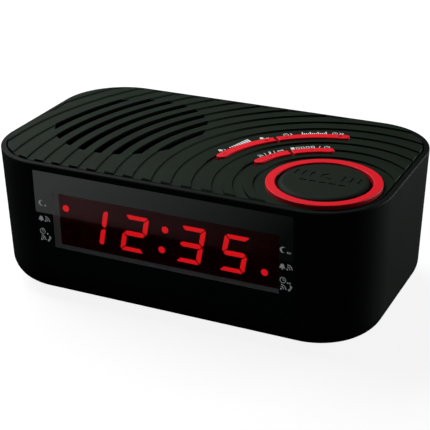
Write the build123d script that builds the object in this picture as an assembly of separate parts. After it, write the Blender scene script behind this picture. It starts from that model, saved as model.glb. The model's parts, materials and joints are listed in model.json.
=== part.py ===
from build123d import *
import math
import os

# Clock radio: a drafted tub with a ripple-patterned top panel, a ringed snooze disc, four curved
# keys, an LED display behind a flush front lens, and the works inside.
# Millimetres. +X is the right-hand side seen from the front, -Y is the front, +Z is up.
# The origin is on the surface that the feet stand on, under the middle of the case.

# ---- driving dimensions ----
WIDTH = 190.0
DEPTH = 111.0
FOOT_HEIGHT = 1.5
CASE_HEIGHT = 66.5
CORNER_RADIUS = 30.5
BOTTOM_EDGE_RADIUS = 11.5
RIM_EDGE_RADIUS = 0.8
SIDE_DRAFT = 1.8
FRONT_DRAFT = 0.6
BACK_DRAFT = 3.4
WALL = 2.5
RIM_TOP = FOOT_HEIGHT + CASE_HEIGHT

# top panel and its ribs, which are rings centred on the snooze disc
RIM_WIDTH = 2.7
PANEL_GAP = 0.6
PANEL_UNDER = RIM_TOP - 3.0
CONTROL_X = 64.8
CONTROL_Y = -26.3
CHANNEL_Z = RIM_TOP - 0.1
RIB_INNER_Z = RIM_TOP + 0.7
RIB_OUTER_Z = RIM_TOP + 0.9
RIB_WIDTH = 4.1
RIB_LEAN = 0.15
RIB_FIRST = 30.6
RIB_PITCH = 8.84
RIB_COUNT = 16
SLOT_COUNT = 8
SLOT_FIRST_RIB = 6
SLOT_WIDTH = 3.4
SLOT_TO_RIB = 0.2

# controls
CONTROL_TOP = RIM_TOP + 1.75
RING_INNER = 21.0
RING_OUTER = 25.2
RING_TUBE = 22.6
SNOOZE_RADIUS = 20.5
SNOOZE_TOP = CONTROL_TOP + 0.3
SNOOZE_EDGE = 3.0
MARK_DEPTH = 0.3
MARK_ROW = 4.8
BAR_ROW = -2.2
KEY_WIDTH = 4.8
KEY_CLEARANCE = 0.3
KEY_END_RADIUS = 2.3
KEY_EDGE_RADIUS = 0.5
OUTER_KEY_MIDDLE = 53.6
INNER_KEY_MIDDLE = 36.1
KEY_GAP_ANGLE = 135.0
KEY_GAP = 1.4
OUTER_KEY_SPAN = 36.3
INNER_KEY_SPAN = 30.6
PIVOT_Z = PANEL_UNDER - 1.4
PIVOT_RADIUS = 1.0
KEY_BOTTOM = 62.6
PLUNGER_BOTTOM = 61.1
DOME_TOP = 61.0
KEY_BOARD_TOP = 58.0
KEY_BOARD_THICKNESS = 1.6
KEY_BOARD_LOW = KEY_BOARD_TOP - KEY_BOARD_THICKNESS

# front lens, window and display
LENS_LEFT = -64.3
LENS_RIGHT = 62.9
LENS_LOW = 15.8
LENS_HIGH = 65.1
LENS_BACK_Y = -53.3
FRONT_PAD_Y = -51.8
COLLAR_FRONT_Y = LENS_BACK_Y + 0.1
COLLAR_WALL = 1.0
WINDOW_HALF = 55.75
WINDOW_LOW = 27.0
WINDOW_HIGH = 54.6
FILTER_FRONT_Y = -49.3
FILTER_BACK_Y = -48.8
DISPLAY_FACE_Y = -48.6
DISPLAY_BOARD_Y = -41.0
DISPLAY_BOARD_THICKNESS = 1.2
DIGIT_HEIGHT = 18.2
DIGIT_WIDTH = 12.2
DIGIT_STROKE = 2.4
DIGIT_SLANT = 11.0
SEGMENT_GAP = 0.32
SEGMENT_CORNER = 0.9
MIDDLE_TIP = 0.8
DIGIT_MIDDLE_Z = 39.3
DIGIT_X = (-36.8, -16.0, 12.0, 33.1)
DIGITS_SHOWN = "1235"
COLON_X = -1.5
COLON_RISE = 5.1
DOT_RADIUS = 1.65
LEFT_DOT_X = -51.4
RIGHT_DOT_X = 47.2
DOT_ROWS = (45.5, 39.4, 33.3)
SEGMENT_DEPTH = 1.5

# loudspeaker
SPEAKER_X = -45.8
SPEAKER_Y = 4.2
SPEAKER_RADIUS = 38.5
GRILLE_RADIUS = 36.8
CLOTH_THICKNESS = 0.5
FLANGE_TOP = PANEL_UNDER - 0.6
FLANGE_LOW = FLANGE_TOP - 1.4
FLANGE_INNER = 37.2
BASKET_FLOOR = 47.0
BASKET_SHEET = 0.8
BASKET_WINDOW = 14.0
CONE_RADIUS = 32.7
CONE_NECK = 9.7
CONE_NECK_Z = 51.6
COIL_INNER = 7.0
COIL_OUTER = 7.4
COIL_LOW = 48.5
GAP_INNER = 6.6
GAP_OUTER = 8.0
CAP_RADIUS = 13.4
CAP_CENTRE_Z = 43.35
MAGNET_RADIUS = 20.0
MAGNET_LOW = 37.5
MAGNET_HIGH = 45.2
PLATE_RADIUS = 19.4
BACK_PLATE_LOW = 35.5
POLE_TOP = 46.9

# case screws: where the pillars stand
PILLARS = ((-78.0, -36.0), (-78.0, 33.0), (76.0, 4.0), (74.0, 31.0))
PILLAR_TOP = 56.0
PILLAR_RADIUS = 4.2
SCREW_SEAT = 48.0
SCREW_RADIUS = 1.45
KEY_BOARD_FIXINGS = ((9.5, -40.0), (9.5, 29.0), (64.0, 29.0), (84.5, -7.0))
DISPLAY_FIXINGS = ((-61.5, 29.0), (61.5, 29.0), (-61.5, 50.0), (61.5, 50.0))
MAIN_BOARD_FIXINGS = ((-12.0, -29.0), (62.0, -29.0), (-12.0, 6.0), (62.0, 6.0))
MAIN_BOARD_Z = 12.0
MAIN_BOARD_X = (-16.0, 67.0)
MAIN_BOARD_Y = (-33.0, 10.0)
BOARD_THICKNESS = 1.6
MAIN_BOARD_TOP = MAIN_BOARD_Z + BOARD_THICKNESS
TUNER_X = (24.0, 48.0)
TUNER_Y = (-30.0, -12.0)
TUNER_HEIGHT = 9.0
TUNER_SHEET = 0.5
TUNER_HOLES = ((31, -21), (40, -21))
CHIP_HEIGHT = 3.0
# each chip as its X and Y extents
CHIPS = ((-6, 14, -22, -10), (20, 32, -6, 2), (40, 52, -6, 2))
# each can as its X, Y, radius and height
CAPACITORS = ((0, 3, 5.0, 20), (12, 3, 4.0, 12), (57, -10, 4.0, 12), (57, -20, 3.2, 11), (-8, -4, 3.0, 11))
SPEAKER_FIXING_RADIUS = 41.3
SPEAKER_FIXING_ANGLES = (30, 150, 210, 330)
FEET = {"front_left": (-62, -34), "front_right": (62, -34), "rear_left": (-60, 30), "rear_right": (58, 30)}

# battery bay, for one 9 V block
BAY_X = (-74.0, -22.0)
BAY_Y = (-12.0, 16.0)
BAY_TOP = 22.5
DOOR_THICKNESS = 2.0
DOOR_GAP = 0.3
BATTERY_LEAD_Z = 17.0

# transformer, aerial and power lead entry
TRANSFORMER_X = 42.0
TRANSFORMER_Y = 28.0
TRANSFORMER_LUG = 22.5
CORE_HALF_X = 19.0
CORE_HALF_Y = 8.0
CORE_HEIGHT = 32.0
CORE_LIMB = 6.0
CORE_WINDOW = 7.0
CORE_YOKE = 6.5
STRAP_HALF_X = 26.0
STRAP_THICKNESS = 1.5
WINDING_HALF_X = 12.8
WINDING_HALF_Y = 13.5
ROD_Y = 45.0
ROD_Z = 27.0
ROD_RADIUS = 4.0
ROD_X = (-62.0, 8.0)
COIL_X = (-34.0, -14.0)
CLIP_X = (-54.0, 0.0)
CLIP_LOW = ROD_Z - 7.0
GLAND_X = 50.0
GLAND_Z = 18.0
GLAND_BORE = 2.7
GLAND_NECK = 4.4

FLOOR_TOP = FOOT_HEIGHT + WALL
CONTROL_PLACE = Pos(CONTROL_X, CONTROL_Y, 0)


# ---- helpers ----
def block(x0, x1, y0, y1, z0, z1):
    """A box between two corners."""
    return Pos((x0 + x1) / 2, (y0 + y1) / 2, (z0 + z1) / 2) * Box(x1 - x0, y1 - y0, z1 - z0)


def post(x, y, z0, z1, radius):
    """An upright cylinder."""
    return Pos(x, y, (z0 + z1) / 2) * Cylinder(radius, z1 - z0)


def bar_y(x, z, y0, y1, radius):
    """A cylinder along Y."""
    return Pos(x, (y0 + y1) / 2, z) * Rot(90, 0, 0) * Cylinder(radius, y1 - y0)


def bar_x(y, z, x0, x1, radius):
    """A cylinder along X."""
    return Pos((x0 + x1) / 2, y, z) * Rot(0, 90, 0) * Cylinder(radius, x1 - x0)


def turned(points):
    """A solid of revolution about Z from (radius, height) points."""
    return revolve(make_face(Polyline([(r, 0, z) for r, z in points], close=True)), Axis.Z)


def joined(shapes):
    """The shapes fused into one."""
    total = shapes[0]
    for shape in shapes[1:]:
        total = total + shape
    return total


def group(shapes):
    """Separate solids kept side by side in one sub-part."""
    return Compound(children=[solid for shape in shapes for solid in shape.solids()])


def write(name, shape):
    """Writes one sub-part."""
    export_step(shape, f"parts/{name}.step")


def case_outline(height, inset):
    """The case's rounded rectangle at a height, a given distance inside its outer face."""
    fall = (RIM_TOP - height) / CASE_HEIGHT
    half_x = WIDTH / 2 - SIDE_DRAFT * fall - inset
    front = -DEPTH / 2 + FRONT_DRAFT * fall + inset
    back = DEPTH / 2 - BACK_DRAFT * fall - inset
    outline = RectangleRounded(2 * half_x, back - front, CORNER_RADIUS - inset)
    return Pos(0, (front + back) / 2, height) * outline


def case_form(inset, low, edge_radius):
    """The drafted tub form from a height up to the rim, with its rounded bottom edge."""
    form = loft([case_outline(low, inset), case_outline(RIM_TOP, inset)])
    return fillet(form.faces().sort_by(Axis.Z)[0].edges(), edge_radius)


def rim_prism(inset, z0, z1):
    """An upright prism of the rim's outline, set in by a distance."""
    outline = RectangleRounded(WIDTH - 2 * inset, DEPTH - 2 * inset, CORNER_RADIUS - inset)
    return extrude(Pos(0, 0, z0) * outline, z1 - z0)


def sector(inner, outer, start, end, z0, z1):
    """A prism over part of a flat ring about the Z axis."""
    near = CenterArc((0, 0), inner, start, end - start)
    far = CenterArc((0, 0), outer, start, end - start)
    face = make_face([near, far, Line(near @ 0, far @ 0), Line(near @ 1, far @ 1)])
    return extrude(Pos(0, 0, z0) * face, z1 - z0)


def at_angle(angle, shape):
    """Turns a shape drawn along +X about the control centre."""
    return CONTROL_PLACE * Rot(0, 0, angle) * shape


def screw(x, y, seat, length, radius, head_radius, head_height):
    """A pan-head screw driven upwards, with its head's face at the seat height and a cross slot."""
    head = post(x, y, seat - head_height, seat, head_radius)
    shank = post(x, y, seat, seat + length, radius)
    slots = [
        Pos(x, y, seat - head_height) * Box(head_radius * 1.3, 0.6, 1.2),
        Pos(x, y, seat - head_height) * Box(0.6, head_radius * 1.3, 1.2),
    ]
    return head + shank - joined(slots)


# ---- keys: where each sits round the control centre ----
def key_angles(middle, span):
    """Middle angles of the left and right key of a pair that meets at the key gap."""
    half = math.degrees(KEY_GAP / 2 / middle) + span / 2
    return KEY_GAP_ANGLE + half, KEY_GAP_ANGLE - half


VOLUME_ANGLE, TUNING_ANGLE = key_angles(OUTER_KEY_MIDDLE, OUTER_KEY_SPAN)
BAND_ANGLE, PRESET_ANGLE = key_angles(INNER_KEY_MIDDLE, INNER_KEY_SPAN)
ROCKER_PLUNGER_ANGLE = 13.5


def polar_point(radius, angle):
    """A point round the control centre."""
    turn = math.radians(angle)
    return CONTROL_X + radius * math.cos(turn), CONTROL_Y + radius * math.sin(turn)


def key_cap(middle, span, outer_end):
    """The curved cap of a key drawn about +X, with its far end (at outer_end's sign) well rounded."""
    inner, outer = middle - KEY_WIDTH / 2, middle + KEY_WIDTH / 2
    cap = sector(inner, outer, -span / 2, span / 2, KEY_BOTTOM, CONTROL_TOP)
    uprights = cap.edges().filter_by(Axis.Z).sort_by(Axis.Y)
    round_end = uprights[-2:] if outer_end > 0 else uprights[:2]
    cap = fillet(round_end, KEY_END_RADIUS)
    return fillet(cap.faces().sort_by(Axis.Z)[-1].edges(), KEY_EDGE_RADIUS)


def engraved_mark(middle, angle, plus):
    """A minus or plus cutter for a key's top."""
    bars = [Box(0.5, 2.2, 0.7)]
    if plus:
        bars.append(Box(2.2, 0.5, 0.7))
    return Rot(0, 0, angle) * Pos(middle, 0, CONTROL_TOP) * joined(bars)


def rocker(outer_end):
    """A curved rocker key on a radial pivot, with a plunger under each end."""
    middle = OUTER_KEY_MIDDLE
    body = key_cap(middle, OUTER_KEY_SPAN, outer_end)
    body += bar_x(0, PIVOT_Z, middle - 4.7, middle + 4.7, PIVOT_RADIUS)
    for side in (-1, 1):
        plunger = post(middle, 0, PLUNGER_BOTTOM, KEY_BOTTOM + 1, 1.4)
        body += Rot(0, 0, side * ROCKER_PLUNGER_ANGLE) * plunger
        body -= engraved_mark(middle, side * ROCKER_PLUNGER_ANGLE, side < 0)
    return body


def push_key(outer_end):
    """A curved push key, kept in the panel by a flange below it."""
    middle = INNER_KEY_MIDDLE
    body = key_cap(middle, INNER_KEY_SPAN, outer_end)
    reach = INNER_KEY_SPAN / 2 - 2.5
    body += sector(middle - 3.5, middle + 3.5, -reach, reach, KEY_BOTTOM, PANEL_UNDER - 0.4)
    body += post(middle, 0, PLUNGER_BOTTOM, KEY_BOTTOM + 1, 1.8)
    dimple = Pos(middle, 0, CONTROL_TOP + 1.1) * Sphere(1.5)
    return body - dimple


def key_aperture(middle, span):
    """The opening in the panel that a pair of keys shares."""
    half_width = KEY_WIDTH / 2 + KEY_CLEARANCE
    reach = span + math.degrees((KEY_GAP / 2 + 0.5) / middle)
    cut = sector(
        middle - half_width, middle + half_width, -reach, reach, PANEL_UNDER - 1, RIM_TOP + 1
    )
    cut = fillet(cut.edges().filter_by(Axis.Z), KEY_END_RADIUS)
    return at_angle(KEY_GAP_ANGLE, cut)


# ---- seven-segment figures, drawn upright and then slanted ----
def flip_x(points):
    """The points mirrored left to right."""
    return [(-x, z) for x, z in points]


def flip_z(points):
    """The points mirrored top to bottom."""
    return [(x, -z) for x, z in points]


def segment_points():
    """Outlines of the seven segments about a digit's middle, as (x, z) points."""
    half_w, half_h, stroke = DIGIT_WIDTH / 2, DIGIT_HEIGHT / 2, DIGIT_STROKE
    gap, corner = SEGMENT_GAP, SEGMENT_CORNER
    mid = stroke / 2
    tip = half_w - MIDDLE_TIP
    top_end = [
        (half_w - gap - corner, half_h),
        (half_w - gap - corner / 2, half_h - corner / 2),
        (half_w - stroke, half_h - stroke + gap),
    ]
    top = top_end + flip_x(top_end)[::-1]
    middle_end = [(tip - mid, mid), (tip, 0), (tip - mid, -mid)]
    middle = middle_end + flip_x(middle_end)[::-1]
    upper_right = [
        (half_w, half_h - gap - corner),
        (half_w, mid),
        (tip + gap, gap),
        (half_w - stroke, stroke - gap),
        (half_w - stroke, half_h - stroke - gap),
        (half_w - corner / 2, half_h - gap - corner / 2),
    ]
    return {
        "a": top,
        "b": upper_right,
        "c": flip_z(upper_right),
        "d": flip_z(top),
        "e": flip_z(flip_x(upper_right)),
        "f": flip_x(upper_right),
        "g": middle,
    }


LIT_SEGMENTS = {"1": "bc", "2": "abged", "3": "abgcd", "5": "afgcd"}


def display_plane_solid(face, depth):
    """Pushes a face drawn in X and Z back from the display's front."""
    return extrude(Pos(0, DISPLAY_FACE_Y, 0) * face, depth, dir=(0, 1, 0))


def segment_solid(points, digit_x):
    """One light segment of a digit."""
    slant = math.tan(math.radians(DIGIT_SLANT))
    corners = [(digit_x + x + z * slant, 0, DIGIT_MIDDLE_Z + z) for x, z in points]
    return display_plane_solid(make_face(Polyline(corners, close=True)), SEGMENT_DEPTH)


def dot_solid(x, z):
    """One round light."""
    return bar_y(x, z, DISPLAY_FACE_Y, DISPLAY_FACE_Y + SEGMENT_DEPTH, DOT_RADIUS)


def display_lights():
    """The lit and the unlit segments and dots."""
    lit, dark = [], []
    for figure, digit_x in zip(DIGITS_SHOWN, DIGIT_X):
        for name, points in segment_points().items():
            target = lit if name in LIT_SEGMENTS[figure] else dark
            target.append(segment_solid(points, digit_x))
    slant = math.tan(math.radians(DIGIT_SLANT))
    for side in (-1, 1):
        rise = side * COLON_RISE
        lit.append(dot_solid(COLON_X + rise * slant, DIGIT_MIDDLE_Z + rise))
    for row, height in enumerate(DOT_ROWS):
        left = lit if row == 0 else dark
        left.append(dot_solid(LEFT_DOT_X, height))
        right = lit if row == 2 else dark
        right.append(dot_solid(RIGHT_DOT_X, height))
    return lit, dark


# ---- case ----
def make_cabinet():
    outside = case_form(0, FOOT_HEIGHT, BOTTOM_EDGE_RADIUS)
    outside = fillet(outside.faces().sort_by(Axis.Z)[-1].edges(), RIM_EDGE_RADIUS)
    inside = case_form(WALL, FLOOR_TOP, BOTTOM_EDGE_RADIUS - WALL)
    shell = outside - inside
    ledge = rim_prism(WALL - 0.1, PANEL_UNDER - 2.5, PANEL_UNDER) - rim_prism(
        RIM_WIDTH + 1.7, PANEL_UNDER - 3, PANEL_UNDER + 1
    )
    pad = block(-68, 68, -DEPTH / 2, FRONT_PAD_Y, LENS_LOW - 3, PANEL_UNDER)
    additions = [ledge, pad]
    additions += [post(x, y, FOOT_HEIGHT, PILLAR_TOP, PILLAR_RADIUS) for x, y in PILLARS]
    additions += [post(x, y, FOOT_HEIGHT, MAIN_BOARD_Z, 3.0) for x, y in MAIN_BOARD_FIXINGS]
    additions += [bar_y(x, z, FRONT_PAD_Y - 1, DISPLAY_BOARD_Y, 2.6) for x, z in DISPLAY_FIXINGS]
    additions += [post(x, ROD_Y, FOOT_HEIGHT, CLIP_LOW, 3.0) for x in CLIP_X]
    shell = joined([shell, *[piece & outside for piece in additions]])
    cuts = [rim_prism(RIM_WIDTH, PANEL_UNDER, RIM_TOP + 1)]
    cuts.append(block(LENS_LEFT, LENS_RIGHT, -DEPTH / 2 - 1, LENS_BACK_Y, LENS_LOW, LENS_HIGH))
    cuts.append(window_block(COLLAR_WALL + 0.1, -DEPTH / 2, FRONT_PAD_Y + 1))
    for x, y in PILLARS:
        cuts.append(post(x, y, FOOT_HEIGHT - 1, SCREW_SEAT, 3.4))
        cuts.append(post(x, y, SCREW_SEAT, PILLAR_TOP + 1, SCREW_RADIUS + 0.2))
    cuts += [post(x, y, FLOOR_TOP + 2, MAIN_BOARD_Z + 1, 1.1) for x, y in MAIN_BOARD_FIXINGS]
    cuts += [bar_y(x, z, -49, DISPLAY_BOARD_Y + 1, 1.1) for x, z in DISPLAY_FIXINGS]
    cuts += [post(x, TRANSFORMER_Y, FOOT_HEIGHT + 1.1, FLOOR_TOP + 1, 1.5) for x in transformer_fixings()]
    cuts += battery_door_cuts()
    cuts += vent_cuts()
    cuts.append(bar_y(GLAND_X, GLAND_Z, 40, 60, GLAND_NECK))
    for cut in cuts:
        shell = shell - cut
    return shell


def battery_door_cuts():
    """The hole in the floor for the battery door, its two pivot sockets and its latch notch."""
    hinge_x, hinge_z = door_axis()
    hole = block(*BAY_X, *BAY_Y, FOOT_HEIGHT - 1, FLOOR_TOP + 1)
    sockets = bar_y(hinge_x, hinge_z, BAY_Y[0] - 1.5, BAY_Y[1] + 1.5, 0.85)
    latch = block(BAY_X[1] - 1, BAY_X[1] + 3.5, -3, 7, FOOT_HEIGHT - 1, FOOT_HEIGHT + 1.0)
    return [hole, sockets, latch]


def vent_cuts():
    """Slots in the floor and the back wall beside the transformer."""
    floor_slots = [block(x, x + 2, 17, 38, 0, FLOOR_TOP + 1) for x in range(23, 48, 5)]
    back_slots = [block(x, x + 2, 44, 60, 32, 54) for x in range(14, 60, 5)]
    return floor_slots + back_slots


def rib_edge(rib):
    """The inner radius of a rib."""
    return RIB_FIRST + rib * RIB_PITCH


def make_top_panel():
    profile = [(0, PANEL_UNDER), (0, CHANNEL_Z)]
    for rib in range(RIB_COUNT):
        inner = rib_edge(rib)
        outer = inner + RIB_WIDTH
        profile += [(inner - RIB_LEAN, CHANNEL_Z), (inner, RIB_INNER_Z)]
        profile += [(outer, RIB_OUTER_Z), (outer + RIB_LEAN, CHANNEL_Z)]
    profile += [(rib_edge(RIB_COUNT), CHANNEL_Z), (rib_edge(RIB_COUNT), PANEL_UNDER)]
    panel = CONTROL_PLACE * turned(profile)
    panel = panel & rim_prism(RIM_WIDTH + PANEL_GAP, PANEL_UNDER, RIM_TOP + 1)
    for x, y in PILLARS:
        panel += post(x, y, PILLAR_TOP + 0.1, PANEL_UNDER + 1, 3.5)
        panel -= post(x, y, PILLAR_TOP, PANEL_UNDER - 1, SCREW_RADIUS)
    for x, y in KEY_BOARD_FIXINGS:
        panel += post(x, y, KEY_BOARD_TOP, PANEL_UNDER + 1, 2.6)
        panel -= post(x, y, KEY_BOARD_TOP - 1, PANEL_UNDER - 1, 1.0)
    for x, y in speaker_fixings():
        panel += post(x, y, PANEL_UNDER - 2, PANEL_UNDER + 1, 2.6)
        panel -= post(x, y, PANEL_UNDER - 3, PANEL_UNDER + 1.2, 1.0)
    for angle in (VOLUME_ANGLE, TUNING_ANGLE):
        panel += at_angle(angle, pivot_lugs())
    panel -= post(CONTROL_X, CONTROL_Y, PANEL_UNDER - 1, RIM_TOP + 1, RING_TUBE)
    panel -= key_aperture(OUTER_KEY_MIDDLE, OUTER_KEY_SPAN)
    panel -= key_aperture(INNER_KEY_MIDDLE, INNER_KEY_SPAN)
    for slot in speaker_slots():
        panel -= slot
    return panel


def pivot_lugs():
    """Two bored lugs under the panel that carry a rocker's pivot."""
    middle = OUTER_KEY_MIDDLE
    lugs = []
    for centre in (middle - 4.1, middle + 4.1):
        lug = Pos(centre, 0, PANEL_UNDER - 1.4) * Box(1.8, 5, 3.2)
        lugs.append(lug)
    return joined(lugs) - bar_x(0, PIVOT_Z, middle - 6, middle + 6, PIVOT_RADIUS + 0.05)


def speaker_slots():
    """Curved slots in the channels, trimmed to the grille's circle."""
    grille = post(SPEAKER_X, SPEAKER_Y, PANEL_UNDER - 1, RIM_TOP + 1, GRILLE_RADIUS)
    slots = []
    for rib in range(SLOT_FIRST_RIB, SLOT_FIRST_RIB + SLOT_COUNT):
        outer = rib_edge(rib) - SLOT_TO_RIB
        ring = post(CONTROL_X, CONTROL_Y, PANEL_UNDER - 1, RIM_TOP + 1, outer)
        ring -= post(CONTROL_X, CONTROL_Y, PANEL_UNDER - 2, RIM_TOP + 2, outer - SLOT_WIDTH)
        slots.append(ring & grille)
    return slots


def speaker_fixings():
    """Where the loudspeaker's screws go."""
    points = []
    for angle in SPEAKER_FIXING_ANGLES:
        turn = math.radians(angle)
        points.append(
            (
                SPEAKER_X + SPEAKER_FIXING_RADIUS * math.cos(turn),
                SPEAKER_Y + SPEAKER_FIXING_RADIUS * math.sin(turn),
            )
        )
    return points


def door_axis():
    """The battery door's pivot, as X and Z."""
    return BAY_X[0] + DOOR_GAP + DOOR_THICKNESS / 2, FOOT_HEIGHT + DOOR_THICKNESS / 2


def make_battery_door():
    hinge_x, hinge_z = door_axis()
    y0, y1 = BAY_Y[0] + DOOR_GAP, BAY_Y[1] - DOOR_GAP
    top = FOOT_HEIGHT + DOOR_THICKNESS
    door = block(hinge_x, BAY_X[1] - DOOR_GAP, y0, y1, FOOT_HEIGHT, top)
    door += bar_y(hinge_x, hinge_z, y0, y1, DOOR_THICKNESS / 2)
    door += bar_y(hinge_x, hinge_z, y0 - 1.4, y1 + 1.4, 0.8)
    door += block(BAY_X[1] - 2.2, BAY_X[1] - DOOR_GAP, -2, 6, top - 0.5, top + 2.5)
    for ridge in range(5):
        x = BAY_X[1] - 12 + ridge * 2
        door -= block(x, x + 0.8, -4, 8, FOOT_HEIGHT - 1, FOOT_HEIGHT + 0.5)
    return door


def make_battery_tray():
    x0, x1 = BAY_X
    y0, y1 = BAY_Y
    tray = block(x0 - 1.5, x1 + 1.5, y0 - 1.5, y1 + 1.5, FLOOR_TOP, BAY_TOP + 1.5)
    tray += block(x0 - 6, x1 + 6, y0 + 8, y1 - 8, FLOOR_TOP, FLOOR_TOP + 2)
    tray -= block(x0, x1, y0, y1, FLOOR_TOP - 1, BAY_TOP)
    for x in (x0 - 3.8, x1 + 3.8):
        tray -= post(x, 2, FLOOR_TOP - 1, FLOOR_TOP + 3, 1.2)
    return tray - block(x1 - 1, x1 + 2, 1, 3, BATTERY_LEAD_Z - 0.6, BATTERY_LEAD_Z + 0.6)


def make_battery_snap():
    """The 9 V clip: a board across the end of the bay with its two round terminals."""
    x1 = BAY_X[1]
    plate = block(x1 - 1.2, x1, BAY_Y[0] + 1, BAY_Y[1] - 1, 7, 20)
    stud = bar_x(2 - 6.35, 12.5, x1 - 3.6, x1 - 1.2, 2.7)
    socket = bar_x(2 + 6.35, 12.5, x1 - 3.6, x1 - 1.2, 3.9) - bar_x(2 + 6.35, 12.5, x1 - 4, x1 - 1.2, 2.8)
    return group([plate, stud, socket])


# ---- display ----
def window_block(margin, y0, y1):
    """A block of the window's outline, larger all round by a margin."""
    half = WINDOW_HALF + margin
    return block(-half, half, y0, y1, WINDOW_LOW - margin, WINDOW_HIGH + margin)


def make_bezel():
    """The frame behind the window: a collar that reaches the lens, sloped ends, a seat for the filter."""
    y0, y1 = COLLAR_FRONT_Y, DISPLAY_FACE_Y - 0.1
    frame = block(-58.4, 58.4, FRONT_PAD_Y, y1, WINDOW_LOW - 3, WINDOW_HIGH + 3)
    frame += window_block(COLLAR_WALL, y0, FRONT_PAD_Y)
    middle = (WINDOW_LOW + WINDOW_HIGH) / 2
    height = WINDOW_HIGH - WINDOW_LOW
    mouth = Plane((0, y0, middle), x_dir=(1, 0, 0), z_dir=(0, 1, 0)) * Rectangle(2 * WINDOW_HALF, height)
    throat_place = Plane((0, y1, middle), x_dir=(1, 0, 0), z_dir=(0, 1, 0))
    throat = throat_place * Rectangle(2 * WINDOW_HALF - 2.4, height)
    frame -= loft([mouth, throat])
    return frame - filter_form()


def filter_form():
    """The red filter's plate."""
    return block(-56.5, 56.5, FILTER_FRONT_Y, FILTER_BACK_Y, WINDOW_LOW - 1, WINDOW_HIGH + 1)


def make_display():
    lit, dark = display_lights()
    back = DISPLAY_BOARD_Y
    reflector = block(-57, 57, DISPLAY_FACE_Y, back, WINDOW_LOW - 1, 54.0)
    for light in lit + dark:
        reflector -= light
    board = block(-65, 65, back, back + DISPLAY_BOARD_THICKNESS, 24.5, 54.0)
    for x, z in DISPLAY_FIXINGS:
        board -= bar_y(x, z, back - 1, back + 3, 1.3)
    screws = []
    for x, z in DISPLAY_FIXINGS:
        upright = screw(0, 0, 0, 7, 1.1, 2.2, 1.5)
        screws.append(Pos(x, back + DISPLAY_BOARD_THICKNESS, z) * Rot(90, 0, 0) * upright)
    write("display_lens", lens_form())
    write("display_bezel", make_bezel())
    write("display_filter", filter_form())
    write("display_reflector", reflector)
    write("digit_segments_lit", group(lit))
    write("digit_segments_dark", group(dark))
    write("display_board", board)
    write("display_screws", group(screws))


def lens_form():
    """The lens: flush with the drafted front, 0.1 mm smaller all round than its recess."""
    play = 0.1
    plate = block(
        LENS_LEFT + play,
        LENS_RIGHT - play,
        -DEPTH / 2 - 1,
        LENS_BACK_Y,
        LENS_LOW + play,
        LENS_HIGH - play,
    )
    lens = plate & case_form(0, FOOT_HEIGHT, BOTTOM_EDGE_RADIUS)
    return chamfer(lens.faces().sort_by(Axis.Y)[0].edges(), 0.2)


# ---- controls ----
def make_snooze_ring():
    foot = PANEL_UNDER - 0.8
    ring = turned(
        [
            (RING_INNER, foot),
            (RING_TUBE, foot),
            (RING_TUBE, CHANNEL_Z),
            (RING_OUTER, CHANNEL_Z),
            (RING_OUTER, CONTROL_TOP),
            (RING_INNER, CONTROL_TOP),
        ]
    )
    return CONTROL_PLACE * fillet(ring.faces().sort_by(Axis.Z)[-1].edges(), 0.4)


def make_snooze_button():
    flange_top = PANEL_UNDER - 1.1
    button = turned(
        [
            (0, PLUNGER_BOTTOM),
            (4.5, PLUNGER_BOTTOM),
            (4.5, SNOOZE_TOP - 1.9),
            (18.8, SNOOZE_TOP - 1.9),
            (18.8, flange_top - 1.5),
            (22.3, flange_top - 1.5),
            (22.3, flange_top),
            (SNOOZE_RADIUS, flange_top),
            (SNOOZE_RADIUS, SNOOZE_TOP),
            (0, SNOOZE_TOP),
        ]
    )
    button = fillet(button.faces().sort_by(Axis.Z)[-1].edges(), SNOOZE_EDGE)
    for mark in snooze_marks():
        button -= extrude(Pos(0, 0, SNOOZE_TOP - MARK_DEPTH) * mark, 2)
    return CONTROL_PLACE * button


def snooze_marks():
    """The sunk marks on the disc: a crescent moon between three arcs each side, over a row of bars."""
    marks = [Pos(0, MARK_ROW) * (Circle(3.2) - Pos(1.7, 0.9) * Circle(2.7))]
    for radius, half in ((6.8, 21), (10.4, 13.5), (14.0, 9.5)):
        for middle in (0, 180):
            near = CenterArc((0, MARK_ROW), radius, middle - half, 2 * half)
            far = CenterArc((0, MARK_ROW), radius + 1.1, middle - half, 2 * half)
            marks.append(make_face([near, far, Line(near @ 0, far @ 0), Line(near @ 1, far @ 1)]))
    marks += [Pos(x, BAR_ROW) * SlotOverall(3.2, 1.3) for x in (-8.8, -4.4, 0, 4.4, 8.8)]
    return marks


def rubber_dome(x, y, base, tip):
    """A hollow rubber return dome that stands on the key board."""
    height = DOME_TOP - KEY_BOARD_TOP
    profile = [
        (0, height - 0.8),
        (tip - 0.8, height - 0.8),
        (base - 0.8, 0),
        (base, 0),
        (tip, height),
        (0, height),
    ]
    return Pos(x, y, KEY_BOARD_TOP) * turned(profile)


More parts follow.
